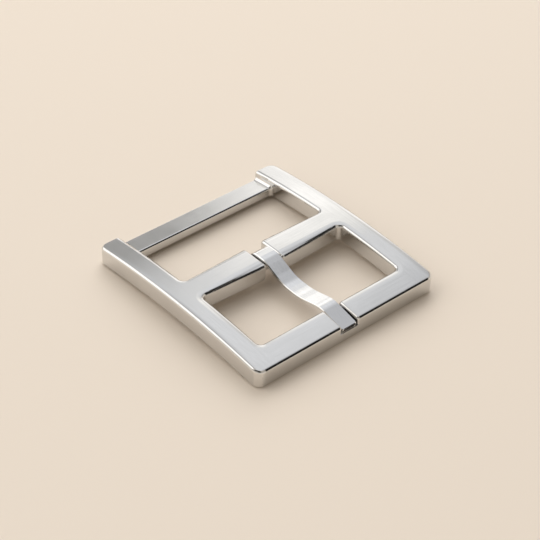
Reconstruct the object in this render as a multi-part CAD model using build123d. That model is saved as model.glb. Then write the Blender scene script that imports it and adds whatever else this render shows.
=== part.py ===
"""Watch tang buckle, millimetres.

+X runs along the bars to the right rail, -Y points at the notched front bar and +Z is up.
The origin is the middle of the footprint, on the surface that the buckle rests on.
"""
from build123d import *
from math import hypot, sqrt
import os

# Frame, in plan, from the front to the rear
frame_width = 24.0
rail_width = 2.66
front_bar_width = 2.93
front_opening_length = 8.72
centre_bar_width = 3.0
rear_opening_length = 7.8
strap_bar_width = 2.6
rail_overhang = 0.36
outer_corner_radius = 1.0
opening_corner_radius = 0.55

# Frame, from the side
frame_thickness = 2.05
arch_radius = 100.0
strap_bar_drop = 0.84

# Frame edges
outer_edge_radius = 0.32
front_opening_edge_radius = 0.3
lower_edge_radius = 0.15
notch_mouth_radius = 0.2
strap_bar_edge_radius = 0.22
strap_bar_cove_radius = 0.46

# Lugs of the centre bar, one each side of the gap
gap_width = 2.1
lug_flare_front = 0.36
lug_flare_rear = 0.2
lug_end_radius = 0.3
lug_lower_end_radius = 0.5

# Hinge pin, pressed in from the right rail
pin_diameter = 0.84
pin_height_in_bar = 1.12
pin_depth_in_left_lug = 3.0
pin_end_chamfer = 0.08
pin_recess = 0.02

# Tang: an eye on the pin, and a thin blade that dips into the opening and rises to the notch
eye_radius = 1.12
eye_side_clearance = 0.06
eye_bore_clearance = 0.03
blade_thickness = 0.38
blade_shoulder_length = 1.22
blade_dip_depth = 1.26
blade_floor_drop = 0.06
blade_crest_lead = 0.56
blade_crest_stand = 0.03
blade_tip_sink = 0.45
blade_tip_setback = 0.05
blade_root_radius = 0.3
blade_edge_chamfer = 0.07
blade_tip_corner_radius = 0.25

# Shares of the run from the blade's shoulder to its crest
blade_dip_share = 0.341
blade_rise_share = 0.359
blade_shoulder_radius_share = 0.4
blade_dip_radius_share = 0.62
blade_floor_radius_share = 0.81
blade_crest_radius_share = 0.36

# Notch for the tang in the front bar
notch_side_clearance = 0.11
notch_floor_clearance = 0.03

# Cuts run past the solid by this much, and edges are found to within this much
overrun = 1.0
slack = 0.01

# Places worked out from the sizes
frame_length = (front_bar_width + front_opening_length + centre_bar_width + rear_opening_length
                + strap_bar_width + rail_overhang)
front_y = -frame_length / 2
front_bar_rear_y = front_y + front_bar_width
centre_bar_front_y = front_bar_rear_y + front_opening_length
centre_bar_rear_y = centre_bar_front_y + centre_bar_width
strap_bar_front_y = centre_bar_rear_y + rear_opening_length
strap_bar_rear_y = strap_bar_front_y + strap_bar_width
strap_bar_thickness = frame_thickness - strap_bar_drop
rear_y = frame_length / 2
inner_x = frame_width / 2 - rail_width
lug_x = gap_width / 2
lug_front_y = centre_bar_front_y - lug_flare_front
lug_rear_y = centre_bar_rear_y + lug_flare_rear

foot_radius = arch_radius + lower_edge_radius
foot_y = rear_y - lower_edge_radius
arch_rise = foot_radius - sqrt(foot_radius**2 - foot_y**2)
frame_height = arch_rise + frame_thickness
above = frame_height + overrun

pin_y = (lug_front_y + lug_rear_y) / 2
pin_z = arch_rise + pin_height_in_bar
pin_radius = pin_diameter / 2
pin_left_x = -lug_x - pin_depth_in_left_lug
tang_half_width = lug_x - eye_side_clearance
notch_half_width = tang_half_width + notch_side_clearance


def arch_z(y, offset):
    """Height of the arc that lies this far outside the underside's arc."""
    return arch_rise - arch_radius + sqrt((arch_radius + offset)**2 - y**2)


def arch_arc(start_y, end_y, offset):
    middle_y = (start_y + end_y) / 2
    points = [(y, arch_z(y, offset)) for y in (start_y, middle_y, end_y)]
    return ThreePointArc(*points)


def arched_band(start_y, end_y, thickness):
    """The side view of a stretch of the frame, as (y, z), from its underside up."""
    under = arch_arc(start_y, end_y, 0)
    over = arch_arc(end_y, start_y, thickness)
    return make_face([under, Line(under @ 1, over @ 0), over, Line(over @ 1, under @ 0)])


def side_extrusion(face, half_width):
    """A face drawn as (y, z), extruded to both sides of the middle plane."""
    return extrude(Plane.YZ * face, amount=half_width, both=True)


def samples(edge):
    return [edge @ share for share in (0, 0.5, 1)]


def edges_where(solid, test):
    """The edges whose start, middle and end all pass the test."""
    return [edge for edge in solid.edges() if all(test(point) for point in samples(edge))]


def on_arch(point, offset):
    return abs(point.Z - arch_z(point.Y, offset)) < slack


def off_middle_by(point, distance):
    return abs(abs(point.X) - distance) < slack


def round_front_opening(point):
    return abs(point.X) < inner_x + slack and front_bar_rear_y - slack < point.Y < pin_y


def on_strap_bar_root(point):
    on_bar = strap_bar_front_y - slack < point.Y < strap_bar_rear_y + slack
    below_top = point.Z < arch_z(point.Y, strap_bar_thickness) + slack
    return on_bar and below_top and off_middle_by(point, inner_x)


def opening_plan(plain_y, lug_end_y, far_y):
    """An opening between the rails, which narrows towards the gap where the centre bar flares."""
    left_half = [(-inner_x, far_y), (-inner_x, plain_y), (-lug_x, lug_end_y)]
    right_half = [(-x, y) for x, y in reversed(left_half)]
    face = make_face(Polyline(*left_half, *right_half, close=True))
    corners = [vertex for vertex in face.vertices() if off_middle_by(vertex, inner_x)]
    return fillet(corners, opening_corner_radius)


def frame_plan():
    """The frame from above, open at the rear, where the rails end in rounded tips past the strap bar."""
    plan = RectangleRounded(frame_width, frame_length, outer_corner_radius)
    plan -= opening_plan(centre_bar_rear_y, lug_rear_y, rear_y + 2 * overrun)
    ends = [vertex for vertex in plan.vertices()
            if off_middle_by(vertex, inner_x) and vertex.Y > rear_y - slack]
    return fillet(ends, rail_overhang)


def arched_plate():
    """The arched frame with its rounded top edges and the front opening, before its bars are finished."""
    plate = side_extrusion(arched_band(front_y, rear_y, frame_thickness), frame_width / 2)
    plate &= extrude(frame_plan(), amount=above, both=True)
    plate = fillet(edges_where(plate, lambda p: on_arch(p, frame_thickness)), outer_edge_radius)
    plate -= extrude(opening_plan(centre_bar_front_y, lug_front_y, front_bar_rear_y),
                     amount=above, both=True)
    edges = edges_where(plate, lambda p: on_arch(p, frame_thickness) and round_front_opening(p))
    return fillet(edges, front_opening_edge_radius)


def under_edges(frame):
    """The edges of the underside, without the tangent lines of the lugs."""
    found = edges_where(frame, lambda p: on_arch(p, 0))
    lug_round_x = lug_x + lug_lower_end_radius
    return [edge for edge in found if not all(off_middle_by(p, lug_round_x) for p in samples(edge))]


def strap_bar():
    """The low bar at the rear, with a stretch of each rail's core and a cove where they meet."""
    section = arched_band(strap_bar_front_y, strap_bar_rear_y, strap_bar_thickness)
    upper_corners = section.vertices().sort_by(Axis.Y)[-2:]
    half_length = inner_x + rail_width / 2
    bar = side_extrusion(fillet(upper_corners, strap_bar_edge_radius), half_length)
    reach = 2 * strap_bar_cove_radius
    cove_top = strap_bar_thickness + strap_bar_cove_radius
    core_thickness = (cove_top + frame_thickness - outer_edge_radius) / 2
    core = arched_band(strap_bar_front_y - reach, strap_bar_rear_y + reach, core_thickness)
    bar += side_extrusion(core, half_length) - Box(2 * inner_x, 2 * frame_length, 2 * above)
    roots = [edge for edge in edges_where(bar, on_strap_bar_root) if not on_arch(edge @ 0.5, 0)]
    bar = fillet(roots, strap_bar_cove_radius)
    ahead_y = strap_bar_rear_y - frame_length / 2
    return bar & Pos(0, ahead_y, 0) * Box(frame_width, frame_length, 2 * above)


def with_gap(frame):
    """Part the centre bar into two lugs with rounded ends."""
    length = lug_rear_y - lug_front_y + 2 * overrun
    frame -= Pos(0, pin_y, 0) * Box(gap_width, length, 2 * above)
    for offset, radius in ((0, lug_lower_end_radius), (frame_thickness, lug_end_radius)):
        ends = edges_where(frame, lambda p: off_middle_by(p, lug_x))
        frame = fillet([edge for edge in ends if on_arch(edge @ 0.5, offset)], radius)
    return frame


def blade_crest():
    crest_z = arch_z(front_bar_rear_y, frame_thickness) + blade_crest_stand
    return (front_bar_rear_y + blade_crest_lead, crest_z)


def blade_tip():
    return (front_y + blade_tip_setback, arch_z(front_y, frame_thickness) - blade_tip_sink)


def blade_top_line():
    """The blade's upper outline from the top of the eye to the tip, as (y, z)."""
    eye_top = (pin_y, pin_z + eye_radius)
    shoulder = (pin_y - blade_shoulder_length, eye_top[1])
    crest = blade_crest()
    run = shoulder[0] - crest[0]
    dip = (shoulder[0] - blade_dip_share * run, shoulder[1] - blade_dip_depth)
    floor = (crest[0] + blade_rise_share * run, dip[1] - blade_floor_drop)
    radius_shares = [blade_shoulder_radius_share, blade_dip_radius_share,
                     blade_floor_radius_share, blade_crest_radius_share]
    radii = [share * run for share in radius_shares]
    return FilletPolyline(eye_top, shoulder, dip, floor, crest, blade_tip(), radius=radii)


def with_notch(frame):
    """Cut the notch, whose floor is parallel to the underside of the tang's tip."""
    (crest_y, crest_z), (tip_y, tip_z) = blade_crest(), blade_tip()
    slope = (crest_z - tip_z) / (crest_y - tip_y)
    depth = (blade_thickness + notch_floor_clearance) * sqrt(1 + slope**2)
    ends_y = (front_y - overrun, front_bar_rear_y + overrun)
    floor = [(y, tip_z - depth + slope * (y - tip_y)) for y in ends_y]
    face = make_face(Polyline(*floor, (ends_y[1], above), (ends_y[0], above), close=True))
    frame -= side_extrusion(face, notch_half_width)
    mouth = edges_where(frame, lambda p: on_arch(p, frame_thickness)
                        and off_middle_by(p, notch_half_width))
    return fillet(mouth, notch_mouth_radius)


def pin_rod(radius, right_x):
    length = right_x - pin_left_x
    place = Pos((right_x + pin_left_x) / 2, pin_y, pin_z) * Rot(0, 90, 0)
    return place * Cylinder(radius, length)


def buckle_frame():
    frame = arched_plate() + strap_bar()
    frame = with_gap(frame)
    frame = fillet(under_edges(frame), lower_edge_radius)
    frame = with_notch(frame)
    return frame - pin_rod(pin_radius, frame_width / 2 + overrun)


def hinge_pin():
    pin = pin_rod(pin_radius, frame_width / 2 - pin_recess)
    return chamfer(pin.edges().filter_by(GeomType.CIRCLE), pin_end_chamfer)


def on_blade_root(point):
    distance = hypot(point.Y - pin_y, point.Z - pin_z)
    return abs(distance - eye_radius) < slack and point.Y < pin_y - eye_radius / 2


def tang():
    strip = make_face(blade_top_line().offset_2d(blade_thickness, side=Side.LEFT))
    eye = Pos(pin_y, pin_z) * Circle(eye_radius)
    solid = side_extrusion(strip + eye, tang_half_width)
    solid = fillet(edges_where(solid, on_blade_root), blade_root_radius)
    near_tip_y = blade_tip()[0] + blade_thickness
    corners = edges_where(solid, lambda p: p.Y < near_tip_y and off_middle_by(p, tang_half_width))
    solid = fillet(corners, blade_tip_corner_radius)
    sides = edges_where(solid, lambda p: off_middle_by(p, tang_half_width))
    solid = chamfer(sides, blade_edge_chamfer)
    bore = Cylinder(pin_radius + eye_bore_clearance, frame_width)
    return solid - Pos(0, pin_y, pin_z) * Rot(0, 90, 0) * bore


os.makedirs("parts", exist_ok=True)
export_step(buckle_frame(), "parts/buckle_frame.step")
export_step(hinge_pin(), "parts/hinge_pin.step")
export_step(tang(), "parts/tang.step")
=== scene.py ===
"""Watch tang buckle in polished steel on a plain pale floor, in metres, in the part's own frame."""
from math import cos, radians, sin

import bpy
from mathutils import Matrix, Vector


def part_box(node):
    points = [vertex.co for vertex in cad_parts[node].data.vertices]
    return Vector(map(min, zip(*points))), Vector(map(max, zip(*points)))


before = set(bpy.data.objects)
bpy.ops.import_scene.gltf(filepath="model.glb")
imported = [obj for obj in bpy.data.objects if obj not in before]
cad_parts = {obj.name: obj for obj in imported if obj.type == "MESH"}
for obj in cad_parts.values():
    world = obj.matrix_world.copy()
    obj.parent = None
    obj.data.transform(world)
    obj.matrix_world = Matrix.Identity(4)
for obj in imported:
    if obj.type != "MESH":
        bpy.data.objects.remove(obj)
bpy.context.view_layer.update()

MM = 0.001

# Camera, fitted to the outline of the object. Azimuth 0 looks along +Y, a positive roll leans it to
# the left, and all angles are in degrees
IMAGE_PIXELS = 540
FOCAL_PIXELS = 1611.29
SENSOR_WIDTH_MM = 36
CAMERA_AZIMUTH = -42.6688
CAMERA_ELEVATION = 38.918
CAMERA_ROLL = 2.3877
CAMERA_DISTANCE = 166.4 * MM
CAMERA_AIM = Vector((0.255, -0.43, 0.8955)) * MM
CLIP_RANGE = (10 * MM, 50)

# Floor
FLOOR_COLOUR = (0.82, 0.72, 0.61, 1)
FLOOR_WIDTH = 4
FLOOR_ROUGHNESS = 0.6

# Surroundings: a sky, and a pale backdrop round the horizon that fades out between two elevations
SKY_COLOUR = (0.485, 0.449, 0.4, 1)
SKY_STRENGTH = 1
BACKDROP_COLOUR = (0.87, 0.815, 0.745, 1)
BACKDROP_TOP = (8, 15)

# Soft patches laid over both, each over the ones before it: azimuth from +Y towards +X, elevation, the
# angles from its middle where it begins and ends to fade, and colour
DARK = (0.02, 0.019, 0.018, 1)
SHADED = (0.05, 0.048, 0.045, 1)
GLOWS = {
    "wall_left": (20, 28, 14, 24, (0.43, 0.428, 0.42, 1)),
    "ceiling": (50, 62, 18, 35, (0.915, 0.93, 0.96, 1)),
    "ceiling_left": (5, 56, 8, 22, (0.46, 0.46, 0.47, 1)),
    "ceiling_right": (76, 42, 6, 16, (0.5, 0.51, 0.54, 1)),
    "ceiling_far": (82, 54, 8, 18, (0.61, 0.62, 0.645, 1)),
    "window_right": (54, 22, 8, 12, (1.4, 1.38, 1.35, 1)),
    "window_low": (40, 15, 9, 12, (1.38, 1.36, 1.33, 1)),
    "window": (42.3, 25.5, 5, 7.5, (1.26, 1.245, 1.22, 1)),
    "window_top": (45, 36.5, 2.5, 5.5, (1.14, 1.13, 1.1, 1)),
    "window_middle": (42.5, 32.5, 3.2, 5.5, (1.46, 1.44, 1.41, 1)),
    "left_window": (-30, 35, 22, 34, (1.45, 1.42, 1.38, 1)),
    "dark_right": (116, 55, 6, 10, DARK),
    "dark_right_low": (128, 48, 6, 10, DARK),
    "dark_corner": (137, 40, 7, 11, DARK),
    "dark_corner_low": (142, 31, 7, 11, DARK),
    "dark_front": (146, 21, 7, 11, DARK),
    "dark_front_low": (148, 11, 7, 11, DARK),
    "dark_horizon": (149, 2, 7, 11, DARK),
    "dark_left": (-137, 40, 12, 24, SHADED),
    "dark_above": (-112, 62, 14, 24, SHADED),
    "dark_side": (-93, 42, 8, 14, SHADED),
}

# Lamps: azimuth, elevation, distance and width in metres, and power in watts
LAMPS = {
    "lamp_right": (42, 40, 0.5, 0.45, 1.27),
    "lamp_left": (-60, 50, 0.5, 0.45, 0.6),
}

# Clouds tint the steel, smudges change its roughness and nicks dull its edges. Each noise is (waves in
# a metre, detail), its range is where it fades in, and polishing lines make up the rest of its share
CLOUD_NOISE = (220, 3)
CLOUD_SHARE = 0.6
CLOUD_RANGE = (0.3, 0.7)
SMUDGE_NOISE = (600, 4)
SMUDGE_SHARE = 0.5
SMUDGE_RANGE = (0.25, 0.75)
NICK_NOISE = (2600, 2)
NICK_RANGE = (0.62, 0.72)
NICK_ROUGHNESS = 0.12
WORN_ROUGHNESS_DROP = 0.04

# Polishing lines and turned rings: waves in a metre and height
GRAIN_ACROSS = 7000
GRAIN_ALONG = 300
GRAIN_DETAIL = 2
GRAIN_HEIGHT = 0.002 * MM
RING_SCALE = 6300
RING_DISTORTION = 0.6
RING_HEIGHT = 0.003 * MM

# The lines turn from the bars to the rails between two distances from the middle plane, and a face
# counts as facing an axis between two shares of its normal
RAIL_START = (9 * MM, 9.7 * MM)
FACING = (0.6, 0.8)

# Steels: a face counts as an edge between two shares of its normal along its nearest axis
FRAME_STEEL = {
    "colour": (0.72, 0.712, 0.7, 1),
    "shade": (0.675, 0.668, 0.655, 1),
    "worn": (0.78, 0.77, 0.755, 1),
    "roughness": (0.1, 0.17),
    "edge_slopes": (0.985, 0.92),
}
TANG_STEEL = {
    "colour": (0.77, 0.765, 0.76, 1),
    "shade": (0.72, 0.717, 0.712, 1),
    "worn": (0.83, 0.82, 0.81, 1),
    "roughness": (0.09, 0.15),
    "edge_slopes": (0.89, 0.8),
}
PIN_STEEL = {
    "colour": (0.6, 0.595, 0.585, 1),
    "shade": (0.5, 0.49, 0.475, 1),
    "worn": (0.66, 0.65, 0.64, 1),
    "roughness": (0.24, 0.36),
    "edge_slopes": (0.985, 0.92),
}

# Top edges softened by polishing, each as (width, depth): the rails' outer ones, and those of the two
# openings, which also have a centre and a half size in plan
RAIL_OUTER_X = 12 * MM
RAIL_SOFTENED = (0.85 * MM, 0.085 * MM)
OPENINGS = [
    ((0, -5.415 * MM), (9.34 * MM, 4.36 * MM), (0.85 * MM, 0.11 * MM)),
    ((0, 11.945 * MM), (9.34 * MM, 10 * MM), (0.5 * MM, 0.055 * MM)),
]
OPENING_RADIUS = 0.55 * MM


def direction(azimuth, elevation):
    """The unit vector towards an azimuth, from +Y towards +X, and an elevation, both in degrees."""
    a, e = radians(azimuth), radians(elevation)
    return Vector((sin(a) * cos(e), cos(a) * cos(e), sin(e)))


def add_node(tree, kind, inputs=(), **settings):
    """A node with its settings, whose inputs get the values or the sockets given for them."""
    node = tree.nodes.new(kind)
    for name, value in settings.items():
        setattr(node, name, value)
    for key, value in dict(inputs).items():
        if isinstance(value, bpy.types.NodeSocket):
            tree.links.new(value, node.inputs[key])
        else:
            node.inputs[key].default_value = value
    return node


def mixed(tree, share, first, second):
    """The colour between two colours, which the Mix node takes at 6 and 7, by a share from 0 to 1."""
    return add_node(tree, "ShaderNodeMix", {0: share, 6: first, 7: second}, data_type="RGBA").outputs[2]


def between(tree, share, first, second):
    """The number between two numbers, which the Mix node takes at 2 and 3, by a share from 0 to 1."""
    return add_node(tree, "ShaderNodeMix", {0: share, 2: first, 3: second}, data_type="FLOAT").outputs[0]


def math_node(tree, operation, *numbers):
    return add_node(tree, "ShaderNodeMath", enumerate(numbers), operation=operation).outputs[0]


def vector_node(tree, operation, *vectors, output="Vector"):
    return add_node(tree, "ShaderNodeVectorMath", enumerate(vectors), operation=operation).outputs[output]


def parts_of(tree, vector):
    """A vector's X, Y and Z."""
    return add_node(tree, "ShaderNodeSeparateXYZ", {0: vector}).outputs


def soft_step(tree, value, start, end):
    """0 at the start value, rising softly to 1 at the end value."""
    return add_node(tree, "ShaderNodeMapRange", {"Value": value, "From Min": start, "From Max": end},
                    interpolation_type="SMOOTHSTEP").outputs["Result"]


def noise(tree, place, scale, detail):
    return add_node(tree, "ShaderNodeTexNoise",
                    {"Vector": place, "Scale": scale, "Detail": detail}).outputs["Fac"]


def make_world():
    world = bpy.data.worlds.new("studio")
    world.use_nodes = True
    tree = world.node_tree
    tree.nodes.clear()
    ray = add_node(tree, "ShaderNodeTexCoord").outputs["Generated"]
    above = soft_step(tree, parts_of(tree, ray)["Z"], *(sin(radians(angle)) for angle in BACKDROP_TOP))
    colour = mixed(tree, above, BACKDROP_COLOUR, SKY_COLOUR)
    for azimuth, elevation, inner, outer, glow in GLOWS.values():
        middle = direction(azimuth, elevation)
        towards = vector_node(tree, "DOT_PRODUCT", ray, middle, output="Value")
        share = soft_step(tree, towards, cos(radians(outer)), cos(radians(inner)))
        colour = mixed(tree, share, colour, glow)
    background = add_node(tree, "ShaderNodeBackground", {"Color": colour, "Strength": SKY_STRENGTH})
    add_node(tree, "ShaderNodeOutputWorld", {"Surface": background.outputs[0]})
    bpy.context.scene.world = world


def make_lamps():
    """Lamps that aim at the object and aren't seen in its reflections."""
    for name, (azimuth, elevation, distance, width, power) in LAMPS.items():
        light = bpy.data.lights.new(name, "AREA")
        light.size = width
        light.energy = power
        lamp = bpy.data.objects.new(name, light)
        bpy.context.scene.collection.objects.link(lamp)
        back = direction(azimuth, elevation)
        lamp.location = back * distance
        lamp.rotation_euler = back.to_track_quat("Z", "Y").to_euler()
        lamp.visible_glossy = False


def make_floor():
    material = bpy.data.materials.new("floor")
    material.use_nodes = True
    shader = material.node_tree.nodes["Principled BSDF"]
    shader.inputs["Base Color"].default_value = FLOOR_COLOUR
    shader.inputs["Roughness"].default_value = FLOOR_ROUGHNESS
    half = FLOOR_WIDTH / 2
    mesh = bpy.data.meshes.new("floor")
    corners = [(-half, -half, 0), (half, -half, 0), (half, half, 0), (-half, half, 0)]
    mesh.from_pydata(corners, [], [range(4)])
    mesh.materials.append(material)
    floor = bpy.data.objects.new("floor", mesh)
    bpy.context.scene.collection.objects.link(floor)


def make_camera():
    data = bpy.data.cameras.new("camera")
    data.sensor_width = SENSOR_WIDTH_MM
    data.lens = FOCAL_PIXELS / IMAGE_PIXELS * SENSOR_WIDTH_MM
    data.clip_start, data.clip_end = CLIP_RANGE
    camera = bpy.data.objects.new("camera", data)
    bpy.context.scene.collection.objects.link(camera)
    turn = Matrix.Rotation(radians(CAMERA_AZIMUTH), 3, "Z")
    tilt = Matrix.Rotation(radians(90 - CAMERA_ELEVATION), 3, "X")
    roll = Matrix.Rotation(radians(CAMERA_ROLL), 3, "Z")
    turned = turn @ tilt @ roll
    camera.location = CAMERA_AIM + turned @ Vector((0, 0, CAMERA_DISTANCE))
    camera.rotation_euler = turned.to_euler()
    bpy.context.scene.camera = camera


def facing(tree, axis):
    """1 where the surface faces along an axis, 0 for X and 1 for Y, and 0 where it doesn't."""
    normal = add_node(tree, "ShaderNodeTexCoord").outputs["Normal"]
    return soft_step(tree, math_node(tree, "ABSOLUTE", parts_of(tree, normal)[axis]), *FACING)


def grain_along(tree, place, axis):
    """Fine polishing lines along an axis, 0 for X and 1 for Y, as a noise."""
    scale = [GRAIN_ACROSS] * 3
    scale[axis] = GRAIN_ALONG
    return noise(tree, vector_node(tree, "MULTIPLY", place, scale), 1, GRAIN_DETAIL)


def grain(tree, place, lengthways):
    """Polishing lines along Y by a share, else along X, and never across the face they lie on."""
    along_y = between(tree, facing(tree, 1), lengthways, 0)
    along_y = between(tree, facing(tree, 0), along_y, 1)
    return between(tree, along_y, grain_along(tree, place, 0), grain_along(tree, place, 1))


def frame_grain(tree, place):
    """Polishing lines along the bars and, past them, along the rails."""
    from_middle = math_node(tree, "ABSOLUTE", parts_of(tree, place)["X"])
    return grain(tree, place, soft_step(tree, from_middle, *RAIL_START))


def tang_grain(tree, place):
    """Polishing lines along the blade."""
    return grain(tree, place, 1)


def turned_rings(tree, place):
    """Turning marks round the pin's axis."""
    low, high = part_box("hinge_pin")
    centred = vector_node(tree, "SUBTRACT", place, (Vector(low) + Vector(high)) / 2)
    return add_node(tree, "ShaderNodeTexWave",
                    {"Vector": centred, "Scale": RING_SCALE, "Distortion": RING_DISTORTION},
                    wave_type="RINGS", rings_direction="X").outputs["Fac"]


def box_distance(tree, place, centre, half, radius):
    """The distance outside an upright box with rounded corners, in plan."""
    flat = vector_node(tree, "MULTIPLY", place, (1, 1, 0))
    size = vector_node(tree, "ABSOLUTE", vector_node(tree, "SUBTRACT", flat, (*centre, 0)))
    past = vector_node(tree, "SUBTRACT", size, (half[0] - radius, half[1] - radius, 0))
    past = vector_node(tree, "MAXIMUM", past, (0, 0, 0))
    return math_node(tree, "SUBTRACT", vector_node(tree, "LENGTH", past, output="Value"), radius)


def softened(tree, distance, width, depth):
    """The height worn off at a distance from an edge, as a negative number."""
    near = add_node(tree, "ShaderNodeMapRange", {"Value": distance, "From Min": width, "From Max": 0})
    near = near.outputs["Result"]
    return math_node(tree, "MULTIPLY", math_node(tree, "MULTIPLY", near, near), -depth)


def softened_edges(tree, place):
    """The relief that polishing has left along the top edges of the frame."""
    from_middle = math_node(tree, "ABSOLUTE", parts_of(tree, place)["X"])
    from_side = math_node(tree, "SUBTRACT", RAIL_OUTER_X, from_middle)
    relief = softened(tree, from_side, *RAIL_SOFTENED)
    for centre, half, wear in OPENINGS:
        from_opening = box_distance(tree, place, centre, half, OPENING_RADIUS)
        relief = math_node(tree, "ADD", relief, softened(tree, from_opening, *wear))
    return relief


def edge_share(tree, slopes):
    """1 on rounded edges, where the surface faces away from every axis, and 0 on broad faces."""
    normal = add_node(tree, "ShaderNodeTexCoord").outputs["Normal"]
    x, y, z = parts_of(tree, vector_node(tree, "ABSOLUTE", normal))
    largest = math_node(tree, "MAXIMUM", math_node(tree, "MAXIMUM", x, y), z)
    return soft_step(tree, largest, *slopes)


def with_lines(tree, lines, pattern, share):
    """A noise by its share and polishing lines by the rest."""
    pattern = math_node(tree, "MULTIPLY", pattern, share)
    return math_node(tree, "ADD", pattern, math_node(tree, "MULTIPLY", lines, 1 - share))


def steel(name, lines_for, height, colour, shade, worn, roughness, edge_slopes, relief=None):
    """Polished steel: faint clouds, fine grain, and edges burnished by use with a few dull nicks."""
    material = bpy.data.materials.new(name)
    material.use_nodes = True
    tree = material.node_tree
    shader = tree.nodes["Principled BSDF"]
    shader.inputs["Metallic"].default_value = 1
    place = add_node(tree, "ShaderNodeTexCoord").outputs["Object"]
    lines = lines_for(tree, place)
    edge = edge_share(tree, edge_slopes)
    nicks = soft_step(tree, noise(tree, place, *NICK_NOISE), *NICK_RANGE)
    nicks = math_node(tree, "MULTIPLY", edge, nicks)

    clouds = with_lines(tree, lines, noise(tree, place, *CLOUD_NOISE), CLOUD_SHARE)
    tint = mixed(tree, soft_step(tree, clouds, *CLOUD_RANGE), colour, shade)
    tint = mixed(tree, edge, tint, worn)
    tint = mixed(tree, nicks, tint, shade)
    tree.links.new(tint, shader.inputs["Base Color"])

    smudges = with_lines(tree, lines, noise(tree, place, *SMUDGE_NOISE), SMUDGE_SHARE)
    rough = between(tree, soft_step(tree, smudges, *SMUDGE_RANGE), *roughness)
    rough = math_node(tree, "SUBTRACT", rough, math_node(tree, "MULTIPLY", edge, WORN_ROUGHNESS_DROP))
    rough = math_node(tree, "ADD", rough, math_node(tree, "MULTIPLY", nicks, NICK_ROUGHNESS))
    tree.links.new(rough, shader.inputs["Roughness"])

    bump = add_node(tree, "ShaderNodeBump", {"Height": lines, "Strength": 1, "Distance": height})
    if relief:
        worn_shape = {"Height": relief(tree, place), "Strength": 1, "Distance": 1}
        shape = add_node(tree, "ShaderNodeBump", worn_shape)
        tree.links.new(shape.outputs["Normal"], bump.inputs["Normal"])
    tree.links.new(bump.outputs["Normal"], shader.inputs["Normal"])
    return material


def paint(name, material):
    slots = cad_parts[name].data.materials
    slots.clear()
    slots.append(material)


frame_steel = steel("polished_frame_steel", frame_grain, GRAIN_HEIGHT, relief=softened_edges, **FRAME_STEEL)
tang_steel = steel("polished_tang_steel", tang_grain, GRAIN_HEIGHT, **TANG_STEEL)
pin_steel = steel("turned_pin_steel", turned_rings, RING_HEIGHT, **PIN_STEEL)
paint("buckle_frame", frame_steel)
paint("tang", tang_steel)
paint("hinge_pin", pin_steel)

make_floor()
make_lamps()
make_world()
make_camera()
bpy.context.scene.view_settings.view_transform = "Standard"
